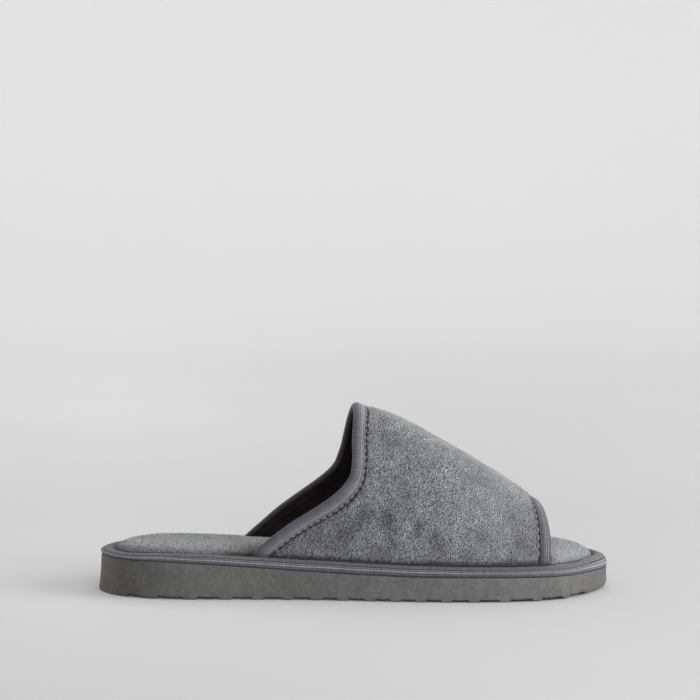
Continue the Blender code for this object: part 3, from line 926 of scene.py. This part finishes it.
def loops(name, material, flat_map, shapes):
    """Small arches of yarn, each from foot to foot over its top."""
    centre, normal, direction, lean, length, height, radius, shade, foot_tone = shapes
    side = unit(np.cross(normal, direction))[:, None]
    half = direction * length[:, None] / 2
    rise = normal * height[:, None]
    sunk = FOOT_SINK * rise
    spine = np.stack([centre - half - sunk, centre + rise + lean, centre + 0.8 * half - sunk], 1)
    tangent = unit(np.gradient(spine, axis=1))
    up = unit(np.cross(np.broadcast_to(side, tangent.shape), tangent))
    obj = tubes(name, spine, side, up, radius[:, None, None], LOOP_SIDES, math.pi / 2, material)
    # painted shade at each loop's feet and painted light at its top
    foot = shade * foot_tone
    add_attribute(obj, "shade", np.repeat(np.stack([foot, shade * TOP_SHADE, foot], 1), LOOP_SIDES))
    u, v = [np.reshape(m, (-1, 1, 1)) for m in flat_map]
    u = u + MAP_STEP * np.arange(LOOP_SIDES)
    v = v + MAP_STEP * np.arange(LOOP_STEPS)[:, None]
    add_bake_map(obj, *np.broadcast_arrays(u, v))
    return obj


NOISE_WAVES = 24


def soft_noise(u, v, size, seed):
    """A smooth random field, about -1 to 1, with features of about that size."""
    rng = np.random.default_rng(seed)
    total = 0.0
    for _ in range(NOISE_WAVES):
        a = rng.uniform(0, 2 * math.pi)
        k = 2 * math.pi / (size * rng.uniform(1.2, 3.2))
        total = total + np.sin(k * (u * math.cos(a) + v * math.sin(a)) + rng.uniform(0, 2 * math.pi))
    return total / math.sqrt(NOISE_WAVES / 2) / 1.6


# Vamp

PILE_PARTS = 3  # the pile is three pieces, each under the size limit
PILE_SPACING = 0.64
PILE_JITTER = 0.4  # share of the spacing
PILE_DEPTH = 0.45  # the ground lies this far in, and the loops stand up to the face
PILE_FREE = 0.9  # bare ground between a binding and the pile
PILE_CLEAR = 0.25  # and above the rim
PIT_RADIUS = 0.66
COLLAR_STITCH, TOE_STITCH = 3.9, 4.6
VAMP_COLUMNS = 48


def vamp_face(x, angle, depth=0.0):
    """The vamp's outer face with its folds, or a face that lies inside it."""
    fold = blobs(FOLDS, x, angle) * min(1.0, 1.0 - depth / WALL) if depth < WALL else 0.0
    return arch(x, angle) + arch_normal(x, angle) * (np.asarray(fold) - depth)[..., None]


def with_feet(strip):
    """The strip's two ends taken down to the sole."""
    first, last = strip[0].copy(), strip[-1].copy()
    for end in (first, last):
        end[2] = sole_top(end[0]) + UPPER_FOOT
    return np.vstack([first, strip, last])


def vamp():
    """The wall, pressed thin under its bindings, with the dark lining inside."""
    angles = np.linspace(0, math.pi, 121)
    collar_in, toe_in = inwards(angles, COLLAR_LINE), inwards(angles, TOE_LINE)
    places, ends = [
        [(into(COVER + GAP), True), (into(width + GAP), True), (into(width + 2 * GAP), False)]
        for into, width in ((collar_in, COLLAR_BINDING), (toe_in, TOE_BINDING))
    ]
    start, stop = places[-1][0], ends[-1][0]
    places += [(start + (stop - start) * k / VAMP_COLUMNS, False) for k in range(1, VAMP_COLUMNS)]
    places += ends[::-1]
    outer = [with_feet(vamp_face(x, angles, COVER if thin else PILE_DEPTH)) for x, thin in places]
    inner = [with_feet(vamp_face(x, angles, COVER + WALL_SEWN if thin else WALL)) for x, thin in places]
    rows, width = len(places), len(outer[0])
    skin = grid_quads(rows, width)
    below = rows * width
    index = np.arange(below).reshape(rows, width)
    loop = np.concatenate([index[0, :-1], index[:-1, -1], index[-1, :0:-1], index[:0:-1, 0]])
    onward = np.roll(loop, -1)
    edges = np.stack([onward, loop, below + loop, below + onward], -1)
    quads = np.concatenate([skin[:, ::-1], below + skin, edges])
    slots = (np.arange(len(quads)) >= len(skin)).astype(int)
    obj = add_mesh("vamp", np.concatenate(outer + inner), quads, [VAMP_GROUND, LINING], sharp=60.0,
                   slots=slots)
    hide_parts("upper")


def keep_only(chosen, arrays):
    return [a[chosen] for a in arrays]


def turned(along, across, turn):
    return along * np.cos(turn)[:, None] + across * np.sin(turn)[:, None]


def pile_spots(rng, angles, first, last):
    """Jittered rows of spots between two lines over the vamp: x, angle and distance from the ridge."""
    xs, turns, arcs = [], [], []
    for row_x in np.arange(first.min(), last.max(), PILE_SPACING):
        run = distance_along(arch(np.full_like(angles, row_x), angles))
        at = np.arange(0.2, run[-1], PILE_SPACING)
        at = at + rng.uniform(-PILE_JITTER, PILE_JITTER, len(at)) * PILE_SPACING
        xs.append(row_x + rng.uniform(-PILE_JITTER, PILE_JITTER, len(at)) * PILE_SPACING)
        turns.append(np.interp(at, run, angles))
        arcs.append(at - run[-1] / 2)
    x, angle, arc = [np.concatenate(a) for a in (xs, turns, arcs)]
    inside = (x > np.interp(angle, angles, first)) & (x < np.interp(angle, angles, last))
    return keep_only(inside, (x, angle, arc))


def clear_of_pits(centre):
    """Which loops stand clear of the pits where the seams' thread goes down."""
    holes = np.concatenate([
        pits(COLLAR_LINE, COLLAR_BINDING, COLLAR_STITCH),
        pits(TOE_LINE, TOE_BINDING, TOE_STITCH),
    ])
    clear = np.full(len(centre), True)
    for hole in holes:
        clear &= size(centre - hole) > PIT_RADIUS
    return clear


def pile_shade(x, angle, arc, above, toe_gap, sewn, fore):
    """The pile's tone by place, with painted shade at the rim, at the seams and behind the toe."""
    patch = 0.06 * soft_noise(x, arc, 5.0, 8) + 0.03 * soft_noise(x, arc, 16.0, 9)
    foot_shade = (0.5 + 0.16 * fore) * (1 - smooth_step((above - PILE_CLEAR) / (2.5 + 0.7 * fore)))
    seam_shade = 0.25 * sewn * (1 - ease(degrees_up(angle), 50, 75))
    toe_shade = 0.24 * (1 - ease(toe_gap, 0, 12))
    return (pile_tone(x, angle) + patch) * ((1 - foot_shade) * (1 - seam_shade) * (1 - toe_shade))


def vamp_pile():
    """Loops in jittered rows over the vamp, from binding to binding and down to the rim."""
    rng = np.random.default_rng(11)
    angles = np.linspace(0, math.pi, 361)
    first = inwards(angles, COLLAR_LINE)(COLLAR_BINDING + PILE_FREE)
    last = inwards(angles, TOE_LINE)(TOE_BINDING + PILE_FREE)
    x, angle, arc = pile_spots(rng, angles, first, last)
    centre = vamp_face(x, angle, PILE_DEPTH)
    above = centre[:, 2] - rim_top(x)
    keep = (above > PILE_CLEAR) & clear_of_pits(centre)
    x, angle, arc, centre, above = keep_only(keep, (x, angle, arc, centre, above))
    n = len(x)
    normal = arch_normal(x, angle)
    toe_gap = np.interp(angle, angles, last) - x
    seam_gap = np.minimum(x - np.interp(angle, angles, first), toe_gap)
    sewn = 1 - ease(seam_gap, 0, 3.0)
    along_x = unit(arch_along(x, angle))
    upward = unit(np.cross(normal, along_x))
    upward *= np.sign(upward[:, 2:3] + 1e-9)
    turn = math.radians(80) + math.radians(20) * soft_noise(x, arc, 14.0, 3) + rng.normal(0, 0.38, n)
    direction = turned(along_x, upward, turn)
    height = rng.uniform(0.6, 1.15, n) * (1 + 0.15 * soft_noise(x, arc, 9.0, 5)) * (1 - 0.35 * sewn)
    centre = centre - normal * (PILE_DEPTH * (1 - ease(toe_gap, 0, 4.0)))[:, None]
    length = rng.uniform(0.9, 2.0, n)
    lean = -upward * (rng.uniform(0.0, 0.7, n) * np.abs(upward[:, 2]))[:, None]
    radius = rng.uniform(0.18, 0.28, n)
    # towards the toe and top: less random contrast, and lighter painted shade at the loops' feet
    even = np.clip(ease(x, 180, 215) + 0.5 * ease(arch(x, angle)[:, 2], 70, 90), 0, 1)
    shade = np.clip(1.0 + (0.32 - 0.18 * even) * rng.normal(0, 1, n), 0.3, 1.9)
    shade = shade * pile_shade(x, angle, arc, above, toe_gap, sewn, ease(x, 160, 185))
    shapes = (centre, normal, direction, lean, length, height, radius, shade, 0.2 + 0.15 * even)
    for k, part in enumerate(np.array_split(np.argsort(x), PILE_PARTS)):
        obj = loops(f"vamp_pile_{k + 1}", VAMP_LOOPS, (x[part], arc[part]), keep_only(part, shapes))


INSOLE_TRIES = 90000


def insole_pile():
    """Shorter loops over the parts of the footbed that show."""
    rng = np.random.default_rng(23)
    t, share = rng.uniform(0, 2, INSOLE_TRIES), rng.uniform(0.0, 1.0, INSOLE_TRIES)
    round_it = footbed_point(t + SMALL, share) - footbed_point(t - SMALL, share)
    into_it = footbed_point(t, share + SMALL) - footbed_point(t, share - SMALL)
    area = size(np.cross(round_it, into_it))
    spot = footbed_point(t, share)
    clear = size(spot - footbed_point(t, np.zeros(INSOLE_TRIES))) > 0.5
    weight = area * (np.maximum(ease(spot[:, 0], 134, 108), ease(spot[:, 0], 204, 236)) * clear)
    keep = rng.uniform(0, 1, INSOLE_TRIES) < weight / np.quantile(weight, 0.985)
    keep = np.flatnonzero(keep)[:INSOLE_LOOP_LIMIT]
    t, centre = t[keep], spot[keep]
    n = len(keep)
    normal = unit(np.cross(unit(round_it[keep]), unit(into_it[keep])))
    normal *= np.sign(normal[:, 2:3])
    along_x = unit(np.array([1.0, 0.0, 0.0]) - normal * normal[:, :1])
    turn = math.radians(85) + rng.normal(0, 0.5, n)
    direction = turned(along_x, np.cross(normal, along_x), turn)
    smooth = ease(centre[:, 0], 200, 220)
    length = rng.uniform(0.9, 1.7, n) * (1 + 0.5 * smooth)
    height = rng.uniform(0.4, 0.7, n) * (1 - 0.7 * smooth)
    radius = rng.uniform(0.2, 0.3, n) * (1 + 0.3 * smooth)
    lean = direction * rng.uniform(-0.3, 0.3, n)[:, None]
    edge_gap = size(centre - footbed_point(t, np.zeros(n)))
    # painted shade near the footbed's edge and beside the collar's foot
    painted_edge_shade = 0.5 + 0.5 * smooth_step(edge_gap / (7.0 - 4.0 * smooth))
    painted_edge_shade = painted_edge_shade * beside_collar(centre, edge_gap)
    shade = np.clip(1 + rng.normal(0, 0.19, n) * (1 - 0.85 * smooth), 0.4, 1.6) * painted_edge_shade * (1 - 0.2 * smooth)
    shapes = (centre, normal, direction, lean, length, height, radius, shade, 0.6 + 0.4 * smooth)
    obj = loops("insole_pile", INSOLE_LOOPS, centre[:, :2].T, shapes)


# Bindings of the upper's edges

# The folded tape's face, from its sewn edge to the fold
COLLAR_FACE = (
    # in from the edge, height, brightness (painted light and shade across the roll), strength of the ribs
    (7.8, -0.15, 0.2, 0.3), (7.3, -0.05, 0.32, 0.7), (6.6, 0.2, 0.58, 1.2), (5.8, 0.55, 0.62, 1.2),
    (5, 0.82, 0.52, 0.9), (4.2, 1, 0.36, 0.4), (3.4, 1.15, 0.33, 0.35), (2.7, 1.12, 0.3, 0.35),
    (2.1, 0.98, 0.26, 0.35), (1.4, 0.6, 0.24, 0.3), (0.8, 0.05, 0.18, 0.1),
)
TOE_FACE = (
    (8.4, -0.3, 0.08, 0.1), (7.4, -0.1, 0.13, 0.2), (6.4, 0, 0.16, 0.3), (5.5, 0.05, 0.24, 0.6),
    (4.8, 0.1, 0.42, 1.2), (3.8, 0.25, 0.46, 1.3), (2.9, 0.45, 0.46, 1.3), (2.1, 0.4, 0.34, 1),
    (1.4, 0.2, 0.18, 0.5), (0.8, -0.1, 0.12, 0.3),
)
FOLD_AT = 0.4  # the fold's outermost line
# Behind the fold: in from the edge, depth in from the tape's back face, brightness (painted shade, darker
# further in), strength of the ribs
TAPE_BACK = (
    (0.5, -0.7, 0.22, 0.2), (1.1, -0.1, 0.15, 0.4), (1.9, 0, 0.07, 0.2), (2.7, 0, 0.02, 0),
)
TAPE_BEHIND = 2.7  # how far in the tape shows behind the fold
TAPE_STEP = 0.2
COLLAR_RIB_START, TOE_RIB_START = 0.5, 1.2
TOP_GLOW = 0.3  # painted light: how much lighter the tapes are over the ridge
RUN_TO_FOOT = 5  # from the last point of the arch down to the sole
CLOTH_SLOT, DARK_SLOT, SHADED_SLOT = 0, 1, 2


def tape_foot_shade(points):
    """Painted shade: how light a tape still is where it goes down behind the rim."""
    return 0.42 + 0.58 * ease(points[:, 2] - rim_top(points[:, 0]), 0, 2.2)


def binding(name, node_name, line, width, face, rib_start, flat_top):
    """A ribbed tape folded over one edge of the upper."""
    inner_face = 2 * COVER + WALL_SEWN
    middle = inner_face / 2
    rows = [(along, -height, tone, ribs) for along, height, tone, ribs in face]
    rows += [(FOLD_AT, middle * 0.6, 0.17, 0.1), (FOLD_AT, middle * 1.2, 0.22, 0.2)]
    rows += [(along, inner_face + depth, tone, ribs) for along, depth, tone, ribs in TAPE_BACK]
    rows += [(TAPE_BEHIND + 1.0, inner_face, 0.0, 0.0)]
    section, run = along_curve(rows, TAPE_STEP)
    tangent = np.gradient(section[:, :2], axis=0)
    out = unit(np.stack([tangent[:, 1], -tangent[:, 0]], -1))
    wave = rib_wave(run - rib_start)
    push = RIB_RISE * wave * section[:, 3]
    back = section[:, 1] > middle
    dark_from = int(np.argmax(back & (section[:, 0] > TAPE_BEHIND)))
    shaded_from = int(np.argmax(back))
    angles = np.linspace(0, math.pi, 261)
    into = inwards(angles, line)
    swell = 1 - flat_top * bell(angles, math.pi / 2, 0.4)
    over_top = np.pad(1 + TOP_GLOW * ease(degrees_up(angles), 50, 80), 1, mode="edge")
    strips, tones = [], []
    for (along, depth, tone, strength), o, p, w in zip(section, out, push, wave):
        x = into(along + o[0] * p)
        depth = (depth * swell if depth < 0 else depth) + o[1] * p
        strips.append(with_feet(arch(x, angles) - arch_normal(x, angles) * np.asarray(depth)[..., None]))
        # the tape's tone: painted light and shade across it, painted highlights on the ribs, painted light
        # over the ridge, painted shade at its foot
        tones.append((tone + strength * (0.55 * w - 0.3)) * over_top * tape_foot_shade(strips[-1]))
    inside = inner_face - TAPE
    hidden = ((width, inner_face), (width, inside), (COVER, inside), (COVER, TAPE), (width, TAPE))
    for along, depth in hidden:
        x = into(along)
        strips.append(with_feet(arch(x, angles) - arch_normal(x, angles) * depth))
        tones.append(0.0 * over_top)
    rows_n, width_n = len(strips), len(strips[0])
    quads = grid_quads(rows_n, width_n, wrap_rows=True)
    row = np.repeat(np.arange(rows_n), width_n - 1)
    slots = np.where(row >= dark_from, DARK_SLOT, np.where(row >= shaded_from, SHADED_SLOT, CLOTH_SLOT))
    slots = np.concatenate([slots, [DARK_SLOT, DARK_SLOT]])
    first = np.arange(rows_n) * width_n
    ends = [first, (first + width_n - 1)[::-1]]
    if line is TOE_LINE:
        quads = quads[:, ::-1]
        ends = [e[::-1] for e in ends]
    obj = add_mesh(name, np.concatenate(strips), quads, [TAPE_CLOTH, LINING, TAPE_SHADED], sharp=60.0,
                   faces=ends, slots=slots)
    run_along = distance_along(arch(into(0), angles))
    run_along = np.concatenate([[-RUN_TO_FOOT], run_along, [run_along[-1] + RUN_TO_FOOT]])
    add_attribute(obj, "along", np.tile(run_along, rows_n))
    add_attribute(obj, "rib", np.concatenate(tones))
    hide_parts(node_name)


# Seams

SEAM_IN = 0.8  # the row of pits, from the binding's sewn edge
SEAM_OVER_RIM = 0.4
STITCH_GAP = 1.1  # between two stitches


def seam_line(line, width, seam_in=SEAM_IN):
    """The seam beside a binding: points, normals and distance along it, over the rim."""
    angles = np.linspace(0, math.pi, 1201)
    x = inwards(angles, line)(width + seam_in)
    p, normal = vamp_face(x, angles, PILE_DEPTH), arch_normal(x, angles)
    above = p[:, 2] - rim_top(p[:, 0]) > SEAM_OVER_RIM
    return p[above], normal[above], distance_along(p[above])


def pits(line, width, pitch):
    """Where the thread goes down between two stitches."""
    p, _, run = seam_line(line, width)
    return along_line(p, run, np.arange(pitch / 2, run[-1], pitch))


def thread_beads(name, p, normal, run, starts, length, radius, lift, material, sides=5):
    """Short lengths of thread lying on a line, each with as many steps as sides."""
    s = np.linspace(0, 1, sides)
    swell = np.sin(math.pi * s) ** 0.5
    at = starts[:, None] + s * length
    centre, up = along_line(p, run, at), unit(along_line(normal, run, at))
    side = np.cross(up, unit(np.gradient(centre, axis=1)))
    centre = centre + up * (lift * swell - 0.6 * radius)[:, None]
    return tubes(name, centre, side, up, (radius * (0.3 + 0.7 * swell))[:, None], sides, 0.0, material)


def stitches(name, line, width, seam_in, pitch, radius, lift):
    """Thread along a binding's sewn edge, from pit to pit."""
    p, normal, run = seam_line(line, width, seam_in)
    starts = np.arange(pitch / 2 + STITCH_GAP / 2, run[-1] - pitch, pitch)
    obj = thread_beads(name, p, normal, run, starts, pitch - STITCH_GAP, radius, lift, SEAM_THREAD)


RIM_STITCH_PITCH, RIM_STITCH, RIM_STITCH_RADIUS, RIM_STITCH_LIFT = 1.07, 0.75, 0.36, 0.42
RIM_STITCH_IN, RIM_STITCH_SHARE = 0.1, 0.9
HIDDEN_FROM, HIDDEN_TO = 70, 100  # behind the collar's foot


def rim_stitches():
    """The small overlock stitches between the rim and what it goes round."""
    ring = outline_at(np.linspace(0, 2, 2400, endpoint=False), RIM_WIDTH - RIM_STITCH_IN)
    z = sole_top(ring[:, 0]) + RIM_STITCH_SHARE * smooth_table(RIM_HEIGHT, ring[:, 0])
    p = np.column_stack([ring, z])
    run = distance_along(p)
    up = np.tile([0.0, 0.0, 1.0], (len(p), 1))
    starts = np.arange(0.3, run[-1] - RIM_STITCH_PITCH, RIM_STITCH_PITCH)
    at = along_line(p, run, starts)
    starts = starts[~((at[:, 1] < 0) & (at[:, 0] > HIDDEN_FROM) & (at[:, 0] < HIDDEN_TO))]
    obj = thread_beads("rim_stitches", p, up, run, starts, RIM_STITCH, RIM_STITCH_RADIUS, RIM_STITCH_LIFT,
                       RIM_THREAD, sides=4)


# Stage

AZIMUTH, ELEVATION, ROLL = math.radians(-4.5), math.radians(8.0), math.radians(0.66)
DISTANCE = 1.5
PIXELS = 700
PIXELS_PER_METRE = 1785.0  # at the slipper
AIM_PIXEL = (352.0, 517.0)  # where the aim point lands in the 700 pixel frame
AIM = Vector((-0.0021, 0.0, 0.0397))
SENSOR = 36.0
WHITE = (1.0, 1.0, 1.0, 1.0)


def from_angles(azimuth, elevation):
    """The direction from the slipper to an eye at these angles."""
    flat = math.cos(elevation)
    return Vector((math.sin(azimuth) * flat, -math.cos(azimuth) * flat, math.sin(elevation)))


def camera():
    """The photo's camera, aimed past the slipper so that it lands off the view's middle."""
    focal = PIXELS_PER_METRE * DISTANCE
    eye = AIM + from_angles(AZIMUTH, ELEVATION) * DISTANCE
    pitch = ELEVATION - math.atan((AIM_PIXEL[1] - PIXELS / 2) / focal)
    yaw = math.atan((AIM_PIXEL[0] - PIXELS / 2) / focal)
    forward = Matrix.Rotation(yaw, 3, "Z") @ -from_angles(AZIMUTH, pitch)
    right = forward.cross(Vector((0, 0, 1))).normalized()
    turn = Matrix((right, right.cross(forward), -forward)).transposed()
    turn = Matrix.Rotation(-ROLL, 3, (AIM - eye).normalized()) @ turn
    obj = link("camera", bpy.data.cameras.new("camera"))
    obj.data.sensor_width = SENSOR
    obj.data.lens = focal * SENSOR / PIXELS
    obj.matrix_world = Matrix.Translation(eye) @ turn.to_4x4()
    bpy.context.scene.camera = obj


# The backdrop, in metres
FLOOR_INNER, FLOOR_FLAT, SWEEP, BACKDROP_TOP = 0.3, 1.6, 0.9, 2.4
SWEEP_STEPS, TURNS = 24, 96


def backdrop_material():
    """Pale paper that glows a little behind, at the left beside the slipper and up the walls."""
    m = new_material("backdrop_paper", 0.9, specular=0.1)
    tone = ramp(m, noise(m, 0.002, 2.0, 0.5), 0.675, 0.695)
    back = axis(m, "Y")
    left = reach(m, axis(m, "X"), 0.15, -0.15, 0.085)
    shown = calculate(m, "MULTIPLY", reach(m, back, -0.3, -0.05), reach(m, back, 2.0, 1.0))
    fill = calculate(m, "MULTIPLY", shown, left)
    glow = calculate(m, "ADD", reach(m, back, 0.3, 2.2, 0.27), fill)
    away = node(m, "ShaderNodeVectorMath", {0: object_place(m)}, operation="LENGTH").outputs["Value"]
    glow = calculate(m, "MAXIMUM", glow, reach(m, away, FLOOR_FLAT, 2.4, 0.06))
    return finish_material(m, tone, **{"Emission Color": WHITE, "Emission Strength": glow})


def backdrop():
    """A pale round floor that sweeps up all round."""
    profile = [(FLOOR_INNER, 0.0), (FLOOR_FLAT, 0.0)]
    for k in range(1, SWEEP_STEPS + 1):
        a = math.pi / 2 * k / SWEEP_STEPS
        profile.append((FLOOR_FLAT + SWEEP * math.sin(a), SWEEP * (1 - math.cos(a))))
    profile.append((FLOOR_FLAT + SWEEP, BACKDROP_TOP))
    around = [2 * math.pi * k / TURNS for k in range(TURNS)]
    verts = [(r * math.cos(a), r * math.sin(a), z) for r, z in profile for a in around]
    quads = grid_quads(len(profile), TURNS, wrap_columns=True)[:, ::-1].tolist()
    mesh = bpy.data.meshes.new("backdrop")
    mesh.from_pydata(verts, [], quads + [list(range(TURNS))])
    mesh.shade_smooth()
    mesh.materials.append(backdrop_material())
    obj = link("backdrop", mesh)


def area_light(name, where, size, watts):
    """A panel that faces the slipper."""
    light = bpy.data.lights.new(name, "AREA")
    light.shape = "RECTANGLE"
    light.size, light.size_y = size
    light.energy = watts
    obj = link(name, light)
    obj.location = where
    obj.rotation_euler = Vector(where).to_track_quat("Z", "Y").to_euler()


def lights():
    area_light("right", (1.6, -0.4, 0.6), (1.2, 1.0), 23.6)
    area_light("front", (0.2, -1.8, 0.9), (1.6, 1.2), 12.1)
    area_light("back", (0.3, 1.0, 1.4), (1.4, 1.0), 3.4)
    world = bpy.data.worlds.new("world")
    world.use_nodes = True
    background = world.node_tree.nodes["Background"]
    background.inputs["Color"].default_value = WHITE
    background.inputs["Strength"].default_value = 0.403
    bpy.context.scene.world = world
    bpy.context.scene.view_settings.view_transform = "Standard"


camera()
backdrop()
lights()
sole()
rim()
footbed()
insole_pile()
vamp()
vamp_pile()
binding("collar_tape", "collar_binding", COLLAR_LINE, COLLAR_BINDING, COLLAR_FACE, COLLAR_RIB_START, 0.0)
binding("toe_tape", "toe_binding", TOE_LINE, TOE_BINDING, TOE_FACE, TOE_RIB_START, 0.2)
stitches("collar_stitches", COLLAR_LINE, COLLAR_BINDING, -0.1, COLLAR_STITCH, 0.42, 0.85)
stitches("toe_stitches", TOE_LINE, TOE_BINDING, 1.5, TOE_STITCH, 0.5, 0.9)
rim_stitches()
